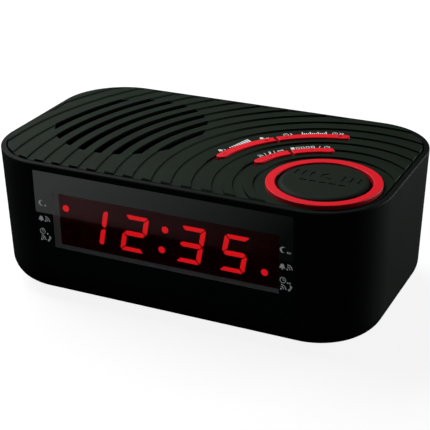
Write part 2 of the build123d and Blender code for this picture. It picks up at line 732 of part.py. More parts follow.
def make_controls():
    write("snooze_ring", make_snooze_ring())
    write("snooze_button", make_snooze_button())
    write("volume_rocker", at_angle(VOLUME_ANGLE, rocker(1)))
    write("tuning_rocker", at_angle(TUNING_ANGLE, rocker(-1)))
    write("band_button", at_angle(BAND_ANGLE, push_key(1)))
    write("preset_button", at_angle(PRESET_ANGLE, push_key(-1)))
    write("snooze_dome", rubber_dome(CONTROL_X, CONTROL_Y, 7.0, 5.0))
    for name, angle in (("volume_domes", VOLUME_ANGLE), ("tuning_domes", TUNING_ANGLE)):
        ends = [polar_point(OUTER_KEY_MIDDLE, angle + side * ROCKER_PLUNGER_ANGLE) for side in (-1, 1)]
        write(name, group([rubber_dome(x, y, 3.6, 2.4) for x, y in ends]))
    for name, angle in (("band_dome", BAND_ANGLE), ("preset_dome", PRESET_ANGLE)):
        x, y = polar_point(INNER_KEY_MIDDLE, angle)
        write(name, rubber_dome(x, y, 4.0, 2.8))
    low = KEY_BOARD_LOW
    outline = Pos(37, -5.5) * RectangleRounded(62, 77, 3) + Pos(71, -23.5) * RectangleRounded(34, 41, 12)
    board = extrude(Pos(0, 0, low) * outline, KEY_BOARD_THICKNESS)
    for x, y in KEY_BOARD_FIXINGS:
        board -= post(x, y, low - 1, KEY_BOARD_TOP + 1, 1.3)
    write("key_board", board)
    write("key_board_screws", group([screw(x, y, low, 6, 1.0, 2.2, 1.5) for x, y in KEY_BOARD_FIXINGS]))


# ---- loudspeaker ----
def make_basket():
    """The pressed basket: a flange, a cone with four windows, and a floor with the coil's hole."""
    middle = (BASKET_FLOOR + FLANGE_LOW) / 2
    basket = turned(
        [
            (FLANGE_INNER, FLANGE_TOP),
            (SPEAKER_RADIUS, FLANGE_TOP),
            (SPEAKER_RADIUS, FLANGE_LOW),
            (FLANGE_INNER - 1.2, FLANGE_LOW),
            (MAGNET_RADIUS - 0.5, BASKET_FLOOR),
            (GAP_OUTER + 0.2, BASKET_FLOOR),
            (GAP_OUTER + 0.2, BASKET_FLOOR + BASKET_SHEET),
            (MAGNET_RADIUS - 1.0, BASKET_FLOOR + BASKET_SHEET),
            (FLANGE_INNER - 2.2, FLANGE_LOW + 0.6),
            (FLANGE_INNER, FLANGE_LOW + 0.6),
        ]
    )
    window = Pos(0, 0, middle) * Box(5 * SPEAKER_RADIUS, BASKET_WINDOW, BASKET_WINDOW / 2 + 1)
    for angle in (45, 135):
        basket -= Rot(0, 0, angle) * window
    return basket


def make_surround():
    """The foam edge that joins the cone to the basket."""
    return turned(
        [
            (CONE_RADIUS - 0.1, FLANGE_LOW + 0.6),
            (CONE_RADIUS + 0.7, FLANGE_LOW + 1.3),
            (CONE_RADIUS + 2.3, FLANGE_LOW + 1.35),
            (FLANGE_INNER - 0.1, FLANGE_LOW + 1.35),
            (FLANGE_INNER - 0.1, FLANGE_LOW + 0.65),
            (CONE_RADIUS + 2.4, FLANGE_LOW + 0.65),
            (CONE_RADIUS + 0.3, FLANGE_LOW - 0.2),
        ]
    )


def make_cone():
    """The paper cone with the voice coil's tube below it."""
    return turned(
        [
            (CONE_NECK - 0.1, CONE_NECK_Z + 1),
            (CONE_RADIUS - 0.2, FLANGE_LOW + 0.55),
            (CONE_RADIUS + 0.2, FLANGE_LOW - 0.25),
            (CONE_NECK + 0.1, CONE_NECK_Z),
            (COIL_OUTER, CONE_NECK_Z),
            (COIL_OUTER, COIL_LOW),
            (COIL_INNER, COIL_LOW),
            (COIL_INNER, CONE_NECK_Z + 1),
        ]
    )


def make_dust_cap():
    """The domed cap over the cone's neck."""
    cap = Pos(0, 0, CAP_CENTRE_Z) * (Sphere(CAP_RADIUS) - Sphere(CAP_RADIUS - 0.5))
    return cap & post(0, 0, CONE_NECK_Z + 1.1, CAP_CENTRE_Z + CAP_RADIUS + 1, CONE_NECK + 1)


def make_pole_piece():
    """The back plate with the pole that stands in the coil."""
    return turned(
        [
            (0, BACK_PLATE_LOW),
            (PLATE_RADIUS, BACK_PLATE_LOW),
            (PLATE_RADIUS, MAGNET_LOW),
            (GAP_INNER, MAGNET_LOW),
            (GAP_INNER, POLE_TOP),
            (0, POLE_TOP),
        ]
    )


def tube(inner, outer, z0, z1):
    """An upright tube about the Z axis."""
    return turned([(inner, z0), (outer, z0), (outer, z1), (inner, z1)])


def make_speaker():
    here = Pos(SPEAKER_X, SPEAKER_Y, 0)
    screw_seat = PANEL_UNDER - 2.8
    screws = []
    for x, y in speaker_fixings():
        driven = screw(x, y, screw_seat, 3.8, 1.0, 2.3, 1.2)
        screws.append(driven + post(x, y, screw_seat, screw_seat + 0.8, 4.0))
    cloth_radius = SPEAKER_RADIUS - 0.4
    write("speaker_basket", here * make_basket())
    write("speaker_surround", here * make_surround())
    write("speaker_cone", here * make_cone())
    write("speaker_dust_cap", here * make_dust_cap())
    write("speaker_magnet", here * tube(GAP_OUTER + 0.6, MAGNET_RADIUS, MAGNET_LOW, MAGNET_HIGH))
    write("speaker_pole_piece", here * make_pole_piece())
    write("speaker_front_plate", here * tube(GAP_OUTER, PLATE_RADIUS, MAGNET_HIGH, BASKET_FLOOR))
    write("speaker_cloth", here * post(0, 0, PANEL_UNDER - CLOTH_THICKNESS, PANEL_UNDER, cloth_radius))
    write("speaker_screws", group(screws))


# ---- boards, transformer, aerial ----
def driven_down(x, y, seat, length, radius, head_radius, head_height):
    """A screw driven downwards, with its head's face at the seat height."""
    return Pos(x, y, seat) * Rot(180, 0, 0) * screw(0, 0, 0, length, radius, head_radius, head_height)


def make_tuner_can():
    """The thin screening can over the tuner, with two trimming holes."""
    top = MAIN_BOARD_TOP + TUNER_HEIGHT
    can = block(*TUNER_X, *TUNER_Y, MAIN_BOARD_TOP, top)
    can -= block(
        TUNER_X[0] + TUNER_SHEET,
        TUNER_X[1] - TUNER_SHEET,
        TUNER_Y[0] + TUNER_SHEET,
        TUNER_Y[1] - TUNER_SHEET,
        MAIN_BOARD_TOP - 1,
        top - TUNER_SHEET,
    )
    for x, y in TUNER_HOLES:
        can -= post(x, y, MAIN_BOARD_TOP, top + 3, 2.0)
    return can


def make_works():
    board = block(*MAIN_BOARD_X, *MAIN_BOARD_Y, MAIN_BOARD_Z, MAIN_BOARD_TOP)
    for x, y in MAIN_BOARD_FIXINGS:
        board -= post(x, y, MAIN_BOARD_Z - 1, MAIN_BOARD_TOP + 1, 1.4)
    screws = [driven_down(x, y, MAIN_BOARD_TOP, 6, 1.1, 2.4, 1.6) for x, y in MAIN_BOARD_FIXINGS]
    chips = [block(*extents, MAIN_BOARD_TOP, MAIN_BOARD_TOP + CHIP_HEIGHT) for extents in CHIPS]
    cans = []
    for x, y, radius, height in CAPACITORS:
        can = post(x, y, MAIN_BOARD_TOP, MAIN_BOARD_TOP + height, radius)
        cans.append(fillet(can.edges().sort_by(Axis.Z)[-1:], 0.6))
    write("main_board", board)
    write("main_board_screws", group(screws))
    write("tuner_can", make_tuner_can())
    write("radio_chips", group(chips))
    write("capacitors", group(cans))


def transformer_fixings():
    """Where the transformer's two screws go, along X."""
    return TRANSFORMER_X - TRANSFORMER_LUG, TRANSFORMER_X + TRANSFORMER_LUG


def make_transformer():
    here = Pos(TRANSFORMER_X, TRANSFORMER_Y, 0)
    core = block(-CORE_HALF_X, CORE_HALF_X, -CORE_HALF_Y, CORE_HALF_Y, FLOOR_TOP, FLOOR_TOP + CORE_HEIGHT)
    window_low, window_high = FLOOR_TOP + CORE_YOKE, FLOOR_TOP + CORE_HEIGHT - CORE_YOKE
    for near, far in ((-CORE_LIMB - CORE_WINDOW, -CORE_LIMB), (CORE_LIMB, CORE_LIMB + CORE_WINDOW)):
        core -= block(near, far, -CORE_HALF_Y - 1, CORE_HALF_Y + 1, window_low, window_high)
    seat = FLOOR_TOP + STRAP_THICKNESS
    core += block(-STRAP_HALF_X, STRAP_HALF_X, -CORE_HALF_Y, CORE_HALF_Y, FLOOR_TOP, seat)
    for side in (-1, 1):
        core -= post(side * TRANSFORMER_LUG, 0, FLOOR_TOP - 1, seat + 1, 1.7)
    winding = block(
        -WINDING_HALF_X,
        WINDING_HALF_X,
        -WINDING_HALF_Y,
        WINDING_HALF_Y,
        window_low + 0.2,
        window_high - 0.2,
    )
    winding = fillet(winding.edges().filter_by(Axis.Z), 3)
    winding -= block(-CORE_LIMB, CORE_LIMB, -CORE_HALF_Y, CORE_HALF_Y, FLOOR_TOP, FLOOR_TOP + CORE_HEIGHT)
    screws = [driven_down(x, TRANSFORMER_Y, seat, 2.8, 1.5, 2.9, 1.8) for x in transformer_fixings()]
    write("transformer_core", here * core)
    write("transformer_winding", here * winding)
    write("transformer_screws", group(screws))


def make_aerial():
    rod = bar_x(ROD_Y, ROD_Z, *ROD_X, ROD_RADIUS)
    coil = bar_x(ROD_Y, ROD_Z, *COIL_X, ROD_RADIUS + 1.6) - rod
    half = ROD_RADIUS + 1.2
    jaw = ROD_RADIUS - 0.6
    clips = []
    for x in CLIP_X:
        clip = block(x - 2.5, x + 2.5, ROD_Y - half, ROD_Y + half, CLIP_LOW, ROD_Z + 2.5)
        clips.append(clip - rod - block(x - 3, x + 3, ROD_Y - jaw, ROD_Y + jaw, ROD_Z, ROD_Z + 5))
    write("ferrite_rod", rod)
    write("aerial_coil", coil)
    write("rod_clips", group(clips))


def strip(points, radius, width_dir, width, thickness):
    """A flat lead along straight runs joined by arcs, lying across width_dir."""
    path = FilletPolyline(*points, radius=radius)
    start = Plane(path @ 0, x_dir=width_dir, z_dir=path % 0)
    return sweep(start * Rectangle(width, thickness), path=path)


def make_leads():
    """The flat leads between the boards, the loudspeaker, the transformer and the battery clip."""
    along_x, along_y = (1, 0, 0), (0, 1, 0)
    display_back = DISPLAY_BOARD_Y + DISPLAY_BOARD_THICKNESS
    winding_y = TRANSFORMER_Y - WINDING_HALF_Y
    display_run = [(4, display_back, 30), (4, -31.5, 30), (4, -31.5, MAIN_BOARD_TOP)]
    key_run = [(48, 5, KEY_BOARD_LOW), (48, 5, 42), (48, 10, 34), (48, 7, 24), (48, 7, MAIN_BOARD_TOP)]
    speaker_run = [(-25.1, -8, 50), (-25.1, -8, 32), (-14, -8, 22), (-14, -8, MAIN_BOARD_TOP)]
    battery_run = [(BAY_X[1], 2, BATTERY_LEAD_Z), (-12.5, 2, BATTERY_LEAD_Z), (-12.5, 2, MAIN_BOARD_TOP)]
    transformer_run = [(36, winding_y, 22), (36, 8, 22), (36, 8, MAIN_BOARD_TOP)]
    write("display_ribbon", strip(display_run, 3, along_x, 18, 0.8))
    write("key_ribbon", strip(key_run, 3, along_x, 10, 0.8))
    write("speaker_leads", strip(speaker_run, 3, along_y, 3, 1.4))
    write("battery_leads", strip(battery_run, 1.5, along_y, 2, 1.0))
    write("transformer_leads", strip(transformer_run, 3, along_x, 8, 1.2))


def make_gland():
    """The bush that the power lead passes through."""
    wall_y = DEPTH / 2 - BACK_DRAFT * (RIM_TOP - GLAND_Z) / CASE_HEIGHT
    inner_y = wall_y - WALL - 0.4
    bush = bar_y(GLAND_X, GLAND_Z, inner_y - 1.5, wall_y + 1.6, GLAND_NECK)
    bush += bar_y(GLAND_X, GLAND_Z, wall_y + 0.4, wall_y + 1.9, 6.4)
    bush += bar_y(GLAND_X, GLAND_Z, inner_y - 1.6, inner_y, 5.6)
    return bush - bar_y(GLAND_X, GLAND_Z, inner_y - 3, wall_y + 4, GLAND_BORE)


os.makedirs("parts", exist_ok=True)
write("cabinet", make_cabinet())
write("top_panel", make_top_panel())
write("battery_door", make_battery_door())
write("battery_tray", make_battery_tray())
write("battery_snap", make_battery_snap())
make_display()
make_controls()
make_speaker()
make_works()
make_transformer()
make_aerial()
make_leads()
write("power_lead_gland", make_gland())
write("case_screws", group([screw(x, y, SCREW_SEAT, 14, SCREW_RADIUS, 2.9, 2.0) for x, y in PILLARS]))
for place, (x, y) in FEET.items():
    foot = fillet(post(x, y, 0, FOOT_HEIGHT, 6.0).edges().sort_by(Axis.Z)[:1], 0.5)
    write(f"foot_{place}", foot)
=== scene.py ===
"""Looks of the clock radio: materials, printed marks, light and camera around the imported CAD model."""
import json
import math

import bpy
from mathutils import Matrix, Vector


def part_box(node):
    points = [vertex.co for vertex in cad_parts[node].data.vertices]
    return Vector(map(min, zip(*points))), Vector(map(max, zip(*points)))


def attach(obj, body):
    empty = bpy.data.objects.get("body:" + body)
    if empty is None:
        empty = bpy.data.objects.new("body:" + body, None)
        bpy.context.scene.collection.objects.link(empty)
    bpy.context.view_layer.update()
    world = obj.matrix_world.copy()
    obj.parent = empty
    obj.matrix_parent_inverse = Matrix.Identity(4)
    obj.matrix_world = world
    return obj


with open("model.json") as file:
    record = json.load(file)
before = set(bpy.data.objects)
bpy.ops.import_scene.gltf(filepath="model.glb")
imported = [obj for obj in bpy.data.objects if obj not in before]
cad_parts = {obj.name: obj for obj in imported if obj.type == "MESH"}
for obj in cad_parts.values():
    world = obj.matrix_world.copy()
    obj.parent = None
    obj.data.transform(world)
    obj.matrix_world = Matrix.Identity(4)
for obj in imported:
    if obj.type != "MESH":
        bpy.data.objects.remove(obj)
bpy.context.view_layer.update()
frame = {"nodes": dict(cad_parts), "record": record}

MM = 0.001
NODES = frame["nodes"]


# ---------------------------------------------------------------- node helpers
def add_node(tree, kind, **inputs):
    """A new node with some of its inputs set, or linked where the value is a socket."""
    node = tree.nodes.new(kind)
    for name, value in inputs.items():
        socket = node.inputs[name.replace("_", " ")]
        if isinstance(value, bpy.types.NodeSocket):
            tree.links.new(value, socket)
        else:
            socket.default_value = value
    return node


def object_place(tree):
    """The object-space coordinate, which is the CAD model's own frame in metres."""
    return tree.nodes.new("ShaderNodeTexCoord").outputs["Object"]


def noise(tree, scale, detail=3.0):
    """Noise of a scale in repeats per metre."""
    node = add_node(tree, "ShaderNodeTexNoise", Vector=object_place(tree), Scale=scale, Detail=detail)
    return node.outputs["Fac"]


def spread_over(tree, source, low, high, source_low=0.3, source_high=0.7):
    """Maps a value that runs from source_low to source_high onto the range low..high."""
    node = add_node(tree, "ShaderNodeMapRange", Value=source)
    node.inputs["From Min"].default_value = source_low
    node.inputs["From Max"].default_value = source_high
    node.inputs["To Min"].default_value = low
    node.inputs["To Max"].default_value = high
    return node.outputs["Result"]


def colour_between(tree, source, dark, light):
    """Goes from one colour to the other over the middle of a 0..1 value, where noise mostly lies."""
    node = add_node(tree, "ShaderNodeValToRGB", Fac=source)
    node.color_ramp.elements[0].position = 0.3
    node.color_ramp.elements[1].position = 0.7
    node.color_ramp.elements[0].color = (*dark, 1)
    node.color_ramp.elements[1].color = (*light, 1)
    return node.outputs["Color"]


def calculate(tree, operation, first, second=0.0):
    """One Math node on two values or sockets."""
    node = tree.nodes.new("ShaderNodeMath")
    node.operation = operation
    for socket, value in zip(node.inputs, (first, second)):
        if isinstance(value, bpy.types.NodeSocket):
            tree.links.new(value, socket)
        else:
            socket.default_value = value
    return node.outputs["Value"]


def axis_of(tree, axis):
    """One of the object-space X, Y and Z values."""
    return add_node(tree, "ShaderNodeSeparateXYZ", Vector=object_place(tree)).outputs[axis]


def choose_colour(tree, factor, outside_colour, inside_colour):
    """The first colour where the factor is 0 and the second where it is 1."""
    node = tree.nodes.new("ShaderNodeMix")
    node.data_type = "RGBA"
    tree.links.new(factor, node.inputs["Factor"])
    colour_inputs = [socket for socket in node.inputs if socket.type == "RGBA"]
    for socket, colour in zip(colour_inputs, (outside_colour, inside_colour)):
        if isinstance(colour, bpy.types.NodeSocket):
            tree.links.new(colour, socket)
        else:
            socket.default_value = (*colour, 1)
    return next(socket for socket in node.outputs if socket.type == "RGBA")


def inside(tree, span_x, span_z):
    """1 inside a rectangle of the front, given in mm, and 0 outside."""
    product = 1.0
    for axis, (low, high) in (("X", span_x), ("Z", span_z)):
        value = axis_of(tree, axis)
        product = calculate(tree, "MULTIPLY", product, calculate(tree, "GREATER_THAN", value, low * MM))
        product = calculate(tree, "MULTIPLY", product, calculate(tree, "LESS_THAN", value, high * MM))
    return product


def facing(tree, axis, start, end):
    """Goes from 0 to 1 as the surface normal's part along an object-space axis goes from start to end."""
    normal = tree.nodes.new("ShaderNodeTexCoord").outputs["Normal"]
    value = add_node(tree, "ShaderNodeSeparateXYZ", Vector=normal).outputs[axis]
    return spread_over(tree, value, 0.0, 1.0, start, end)


# ---------------------------------------------------------------- materials
def shader_of(mat):
    return mat.node_tree.nodes["Principled BSDF"]


def material(
    name,
    colour,
    roughness=0.5,
    spread=0.12,
    blotch=60.0,
    grain=0.0,
    grain_scale=2500.0,
    grain_depth=0.05,
    metallic=0.0,
    specular=0.5,
    rough_spread=0.06,
):
    """A principled material with uneven colour and roughness, and a moulded grain of grain_depth mm."""
    mat = bpy.data.materials.new(name)
    mat.use_nodes = True
    tree = mat.node_tree
    shader = tree.nodes["Principled BSDF"]
    shader.inputs["Metallic"].default_value = metallic
    shader.inputs["Specular IOR Level"].default_value = specular
    dark = [c * (1 - spread) for c in colour]
    light = [c * (1 + spread) for c in colour]
    tree.links.new(colour_between(tree, noise(tree, blotch), dark, light), shader.inputs["Base Color"])
    fine = noise(tree, grain_scale, 2.0)
    rough = spread_over(tree, fine, roughness - rough_spread, roughness + rough_spread)
    tree.links.new(rough, shader.inputs["Roughness"])
    if grain:
        bump = add_node(tree, "ShaderNodeBump", Strength=grain, Distance=grain_depth * MM, Height=fine)
        tree.links.new(bump.outputs["Normal"], shader.inputs["Normal"])
    return mat


def layer_colours(mat, layers):
    """Lays colours over a material's base colour, each one where its factor is 1."""
    tree = mat.node_tree
    socket = shader_of(mat).inputs["Base Color"]
    for factor, colour in layers:
        tree.links.new(choose_colour(tree, factor, socket.links[0].from_socket, colour), socket)


def painted_facing_light_shade(name, colour, painted_facing_colour, axis, start, end, *args, **settings):
    """A material with painted light and shade: its colour changes with the way the surface faces."""
    mat = material(name, colour, *args, **settings)
    layer_colours(mat, [(facing(mat.node_tree, axis, start, end), painted_facing_colour)])
    return mat


# the clear window in the lens's print, and the part of the window that has the film's red sheen, in mm
WINDOW_X = (-54.9, 56.3)
WINDOW_Z = (27.7, 55.3)
SHEEN_X = (-50.6, 56.3)
SHEEN_Z = (30.0, 55.3)
LENS_MIDDLE_Y = -54.2
ACRYLIC_IOR = 1.49
LENS_SPECULAR = 1.0


def lens_material():
    """Clear acrylic with a black printed border, and a red sheen over the film."""
    mat = material("clear_acrylic", (0.86, 0.88, 0.88), 0.02, rough_spread=0.01, spread=0.01)
    tree = mat.node_tree
    shader = shader_of(mat)
    shader.inputs["IOR"].default_value = ACRYLIC_IOR
    shader.inputs["Specular IOR Level"].default_value = LENS_SPECULAR
    front = calculate(tree, "LESS_THAN", axis_of(tree, "Y"), LENS_MIDDLE_Y * MM)
    printed = calculate(tree, "SUBTRACT", 1.0, inside(tree, WINDOW_X, WINDOW_Z))
    window = calculate(tree, "SUBTRACT", 1.0, calculate(tree, "MULTIPLY", printed, front))
    ink = colour_between(tree, noise(tree, 900.0), (0.007, 0.012, 0.012), (0.009, 0.015, 0.015))
    clear = shader.inputs["Base Color"].links[0].from_socket
    tree.links.new(choose_colour(tree, window, ink, clear), shader.inputs["Base Color"])
    tree.links.new(window, shader.inputs["Transmission Weight"])
    sheen = inside(tree, SHEEN_X, SHEEN_Z)
    front_tint = choose_colour(tree, sheen, (0.93, 1.0, 0.98), (1.0, 0.3, 0.33))
    tint = choose_colour(tree, front, (0, 0, 0), front_tint)
    tree.links.new(tint, shader.inputs["Specular Tint"])
    return mat


# parts of the top panel, in mm: the slots' walls and circle, painted in shade, and the ribs' ends along
# the front edge, with a painted highlight
SLOT_WALL_TOP = 67.4
GRILLE_MIDDLE = (-45.8, 4.2)
GRILLE_RADIUS = 36.8
RIB_ENDS_Y = -42.0
RIB_END_HIGHLIGHT_X = (-50.0, 20.0)


def inside_grille(tree):
    """1 inside the circle that trims the loudspeaker's slots, and 0 outside."""
    squares = []
    for axis, middle in zip("XY", GRILLE_MIDDLE):
        away = calculate(tree, "SUBTRACT", axis_of(tree, axis), middle * MM)
        squares.append(calculate(tree, "MULTIPLY", away, away))
    return calculate(tree, "LESS_THAN", calculate(tree, "ADD", *squares), (GRILLE_RADIUS * MM) ** 2)


def panel_material():
    """Moulded texture; painted shade makes slot walls black and steps facing the front dark, painted light
    makes steps facing right pale.

    The ribs' ends along the front edge get a painted highlight that grows paler to the right.
    """
    mat = material("panel_painted_shade_light", (0.0076, 0.0134, 0.0080), 0.62, grain=0.4, specular=0.035)
    tree = mat.node_tree
    at_front = calculate(tree, "LESS_THAN", axis_of(tree, "Y"), RIB_ENDS_Y * MM)
    # painted highlight on the ribs' front ends, fading in from left to right
    highlight_to_the_right = spread_over(tree, axis_of(tree, "X"), 0.0, 1.0, *(x * MM for x in RIB_END_HIGHLIGHT_X))
    square_on = calculate(tree, "MULTIPLY", facing(tree, "Y", -0.97, -0.995), at_front)
    # painted shade: faces inside the grille that don't face up
    painted_slot_shade = calculate(tree, "MULTIPLY", facing(tree, "Z", 0.7, 0.4), inside_grille(tree))
    layers = (
        # painted shade: faces turned to the front are near black
        (facing(tree, "Y", -0.35, -0.8), (0.0009, 0.0014, 0.0011)),
        # painted highlight: the ribs' front ends grow paler to the right
        (calculate(tree, "MULTIPLY", square_on, highlight_to_the_right), (0.08, 0.12, 0.08)),
        # painted light: faces turned to the right are about five times paler than the panel
        (facing(tree, "X", 0.55, 0.9), (0.042, 0.064, 0.043)),
        # painted shade: the slots' walls inside the grille are near black
        (painted_slot_shade, (0.0002, 0.0003, 0.0003)),
        # painted shade: everything lower than SLOT_WALL_TOP, down in the slots, is near black
        (calculate(tree, "LESS_THAN", axis_of(tree, "Z"), SLOT_WALL_TOP * MM), (0.0002, 0.0003, 0.0003)),
    )
    layer_colours(mat, layers)
    return mat


def film_material():
    """Clear red film in front of the figures."""
    mat = material("red_film", (0.6, 0.03, 0.036), 0.06, rough_spread=0.02, spread=0.03, specular=0.2)
    shader_of(mat).inputs["Transmission Weight"].default_value = 1.0
    shader_of(mat).inputs["IOR"].default_value = 1.2
    return mat


def lit_material():
    """Epoxy lit from behind."""
    mat = material("lit_epoxy", (0.5, 0.02, 0.02), 0.4)
    shader_of(mat).inputs["Emission Color"].default_value = (0.95, 0.20, 0.26, 1)
    shader_of(mat).inputs["Emission Strength"].default_value = 1.22
    return mat


def cloth_material():
    """A dark open weave: two crossing sets of threads."""
    mat = material("dust_cloth", (0.0008, 0.0008, 0.0008), 0.95, specular=0.0)
    tree = mat.node_tree
    threads = []
    for direction in ("X", "Y"):
        wave = add_node(tree, "ShaderNodeTexWave", Vector=object_place(tree), Scale=400.0)
        wave.bands_direction = direction
        threads.append(wave.outputs["Fac"])
    weave = calculate(tree, "MULTIPLY", *threads)
    bump = add_node(tree, "ShaderNodeBump", Strength=0.9, Distance=0.2 * MM, Height=weave)
    tree.links.new(bump.outputs["Normal"], shader_of(mat).inputs["Normal"])
    return mat


def make_materials():
    """One finished material for each slot of the record."""
    return {
        # painted shade: the case's faces turned up are darker than its sides
        "case_plastic": painted_facing_light_shade(
            "case_painted_shade",
            (0.0080, 0.0110, 0.0090),
            (0.0030, 0.0044, 0.0035),
            "Z",
            0.2,
            0.8,
            0.6,
            grain=0.35,
            specular=0.04,
        ),
        "panel_plastic": panel_material(),
        # painted shade: the button's sides and rounded edge are near black, and only faces turned up get
        # the panel's colour
        "button_plastic": painted_facing_light_shade(
            "button_painted_shade",
            (0.0008, 0.0012, 0.0009),
            (0.0074, 0.0128, 0.0077),
            "Z",
            0.75,
            0.96,
            0.6,
            grain=0.3,
            specular=0.05,
        ),
        # painted shade: the red parts' sides are about half as bright as their faces turned up
        "red_plastic": painted_facing_light_shade(
            "red_painted_shade",
            (0.35, 0.008, 0.014),
            (0.74, 0.0085, 0.02),
            "Z",
            0.3,
            0.9,
            0.45,
            grain=0.15,
            specular=0.08,
        ),
        # painted light: the bezel's faces turned to the right are paler than the rest
        "bezel_plastic": painted_facing_light_shade(
            "bezel_painted_light", (0.105, 0.135, 0.135), (0.29, 0.295, 0.28), "X", 0.4, 0.9, 0.5, grain=0.2
        ),
        "display_body": material("display_face", (0.042, 0.036, 0.036), 0.6, grain=0.2),
        "unlit_segment": material("unlit_epoxy", (0.07, 0.03, 0.03), 0.5, grain=0.1),
        "circuit_board": material("circuit_board", (0.23, 0.14, 0.05), 0.5, grain=0.2),
        "steel_screw": material("zinc_plate", (0.5, 0.5, 0.51), 0.35, metallic=1.0, grain=0.1),
        "silicone": material("silicone", (0.3, 0.3, 0.3), 0.6, grain=0.1),
        "speaker_steel": material("speaker_steel", (0.2, 0.2, 0.21), 0.4, metallic=0.8),
        "surround_foam": material("surround_foam", (0.02, 0.02, 0.02), 0.8, grain=0.4),
        "cone_paper": material("cone_paper", (0.03, 0.03, 0.03), 0.85, grain=0.6, grain_scale=900),
        "magnet_ferrite": material("ferrite", (0.05, 0.05, 0.055), 0.6, grain=0.3),
        "speaker_cloth": cloth_material(),
        "can_metal": material("tinned_can", (0.6, 0.6, 0.6), 0.35, metallic=1.0),
        "chip_epoxy": material("chip_epoxy", (0.02, 0.02, 0.02), 0.6, grain=0.2),
        "capacitor_sleeve": material("capacitor_sleeve", (0.02, 0.02, 0.06), 0.35),
        "core_steel": material("core_laminations", (0.15, 0.15, 0.15), 0.5, metallic=0.7, grain=0.3),
        "winding_tape": material("winding_tape", (0.6, 0.42, 0.05), 0.4),
        "copper_wire": material("copper_wire", (0.6, 0.25, 0.1), 0.35, metallic=0.9, grain=0.6),
        "contact_metal": material("nickel_plate", (0.6, 0.6, 0.57), 0.3, metallic=1.0),
        "clip_nylon": material("nylon", (0.7, 0.7, 0.66), 0.5, grain=0.1),
        "rubber": material("rubber", (0.008, 0.008, 0.008), 0.75, grain=0.5, specular=0.15),
        "lead_insulation": material("lead_insulation", (0.25, 0.25, 0.26), 0.45),
        "lens_acrylic": lens_material(),
        "filter_film": film_material(),
        "lit_segment": lit_material(),
    }


MATERIALS = make_materials()
LEGEND_INK = material("legend_ink", (0.66, 0.70, 0.69), 0.55, spread=0.08, blotch=3000.0, grain=0.1)
LENS_INK = material("lens_legend_ink", (0.72, 0.80, 0.81), 0.5, spread=0.08, blotch=3000.0, grain=0.1)


def dress_nodes():
    """Gives every CAD node the material of its slot."""
    for part in frame["record"]["subparts"]:
        node = NODES[part["node"]]
        node.data.materials.clear()
        node.data.materials.append(MATERIALS[part["material_slot"]])


def let_light_through():
    """Keeps the figures' glow off the bezel, and the lens and film from shading what is behind them."""
    NODES["digit_segments_lit"].visible_diffuse = False
    for see_through in ("display_lens", "display_filter"):
        NODES[see_through].visible_shadow = False


dress_nodes()
let_light_through()


# ---------------------------------------------------------------- printed icons
# Each icon is a list of closed outlines in mm about its own middle, and one inside another is a hole.
def arc(radius, start, end, centre=(0, 0), steps=14):
    """Points along an arc, in degrees."""
    points = []
    for step in range(steps + 1):
        turn = math.radians(start + (end - start) * step / steps)
        points.append((centre[0] + radius * math.cos(turn), centre[1] + radius * math.sin(turn)))
    return points


def disc(radius, centre=(0, 0)):
    return arc(radius, 0, 345, centre, 23)


def bar(x, y, width, height):
    """An upright rectangle about its middle."""
    return [
        (x - width / 2, y - height / 2),
        (x + width / 2, y - height / 2),
        (x + width / 2, y + height / 2),
        (x - width / 2, y + height / 2),
    ]


def band(inner, outer, start, end, centre=(0, 0)):
    """Part of a ring."""
    return arc(outer, start, end, centre) + arc(inner, end, start, centre)


def moved(outlines, x, y=0.0):
    return [[(px + x, py + y) for px, py in outline] for outline in outlines]


def bell():
    dome = arc(0.8, 0, 180, (0, 0.35))
    return [dome + [(-1.25, -0.8), (1.25, -0.8)], disc(0.3, (0, -1.15))]


def clock():
    return [disc(1.35), disc(1.08), bar(0, 0.35, 0.28, 0.95), bar(0.35, 0, 0.75, 0.28)]


def moon():
    return [arc(1.35, 50, 310) + arc(1.15, 290, 70, (0.62, 0))]


def waves():
    source = (-1.0, -1.0)
    return [disc(0.35, source), band(0.95, 1.3, 0, 90, source), band(1.9, 2.25, 0, 90, source)]


def note():
    flag = [(0.2, 1.3), (1.0, 0.8), (1.0, 0.35), (0.2, 0.85)]
    return [disc(0.52, (-0.35, -0.9)), bar(0.08, 0.2, 0.28, 2.2), flag]


def jack():
    return [disc(0.5, (-1.0, 0)), bar(0.25, 0, 1.5, 0.5), bar(1.35, 0, 0.5, 1.3)]


def slash():
    return [[(-0.5, -1.3), (-0.2, -1.3), (0.5, 1.3), (0.2, 1.3)]]


def dots(count):
    return [disc(0.36, (0.95 * place, -0.95)) for place in range(count)]


def loudness():
    """Bars that grow to the right."""
    return [bar(-6.0 + 1.5 * step, -1.4 + 0.16 * (step + 2), 1.0, 0.32 * (step + 2)) for step in range(9)]


def dial_scale():
    """A tuning scale of long and short ticks."""
    ticks = []
    for step in range(13):
        height = 2.6 if step % 4 == 0 else 1.4
        ticks.append(bar(-5.7 + 0.95 * step, height / 2 - 1.3, 0.55, height))
    return ticks


def memory_squares():
    """Five small squares, one for each stored station."""
    squares = []
    for step in range(5):
        middle = -4.8 + 2.4 * step
        squares.append(bar(middle, 0, 1.7, 2.2))
        if step:
            squares.append(bar(middle, 0, 1.0, 1.5))
    return squares


def chevrons(count):
    """Arrow heads that point right."""
    head = [(-0.5, 1.0), (-0.05, 1.0), (0.6, 0), (-0.05, -1.0), (-0.5, -1.0), (0.1, 0)]
    marks = []
    for place in range(count):
        marks += moved([head], 1.1 * place)
    return marks


INK_THICKNESS = 0.03
INK_LIFT = 0.6 * INK_THICKNESS


